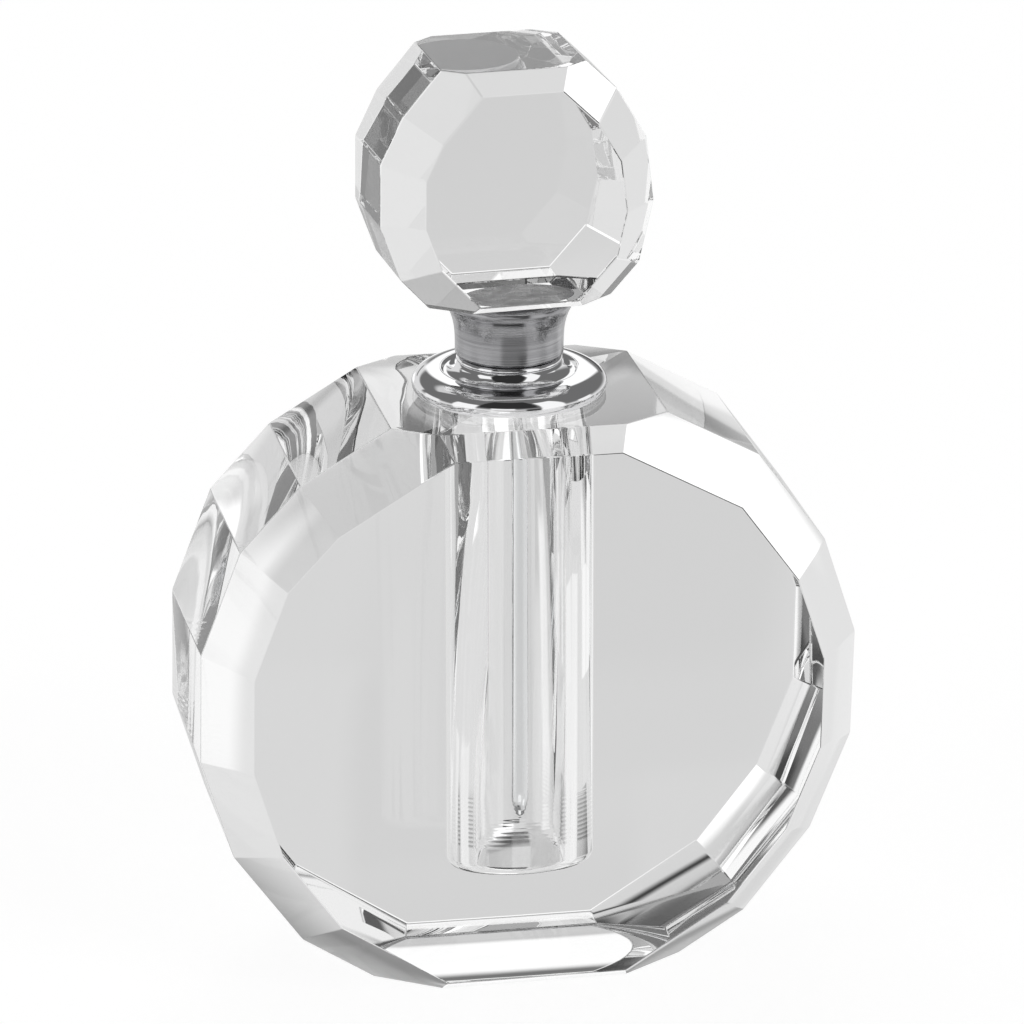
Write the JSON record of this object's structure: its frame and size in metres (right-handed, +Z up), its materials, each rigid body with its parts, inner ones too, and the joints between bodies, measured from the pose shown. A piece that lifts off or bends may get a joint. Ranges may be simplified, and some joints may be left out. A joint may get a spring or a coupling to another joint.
{
  "type": "perfume bottle with dabber stopper",
  "caption": "Thick faceted clear crystal perfume bottle on a ground flat, with a polished metal neck collar and a cut crystal stopper that carries a glass dabber rod.",
  "frame": {"origin": "centre of the base flat, on the neck's axis", "axes": "+Z up along the neck; the two flat tables look along -Y (front) and +Y (back); +X to the right of someone who looks at the front"},
  "size_m": [0.0873, 0.0408, 0.1221],
  "materials": {
    "crystal": "polished",
    "chrome": "polished",
    "brushed_metal": "satin",
    "rod_glass": "polished",
    "white_plastic": "satin",
    "seal_rubber": "matte",
    "clear_adhesive": "satin"
  },
  "bodies": {
    "bottle": {"crystal_body": "crystal", "neck_collar": "chrome", "neck_sleeve": "chrome", "bedding_ring": "clear_adhesive", "neck_liner": "white_plastic"},
    "seal": {"seal_ring": "seal_rubber"},
    "stopper": {"stopper_plug": "white_plastic", "rod_bush": "white_plastic", "dabber_rod": "rod_glass", "ferrule_washer": "seal_rubber", "stopper_ferrule": "brushed_metal", "bonding_disc": "clear_adhesive", "stopper_crystal": "crystal"}
  },
  "joints": [
    {"name": "stopper_lift", "type": "slide", "parent": "bottle", "child": "seal", "axis": [0, 0, 1], "range_m": [0, 0.075]},
    {"name": "stopper_turn", "type": "hinge", "parent": "seal", "child": "stopper", "pos_m": [0, 0, 0.0769], "axis": [0, 0, 1], "continuous": true}
  ]
}
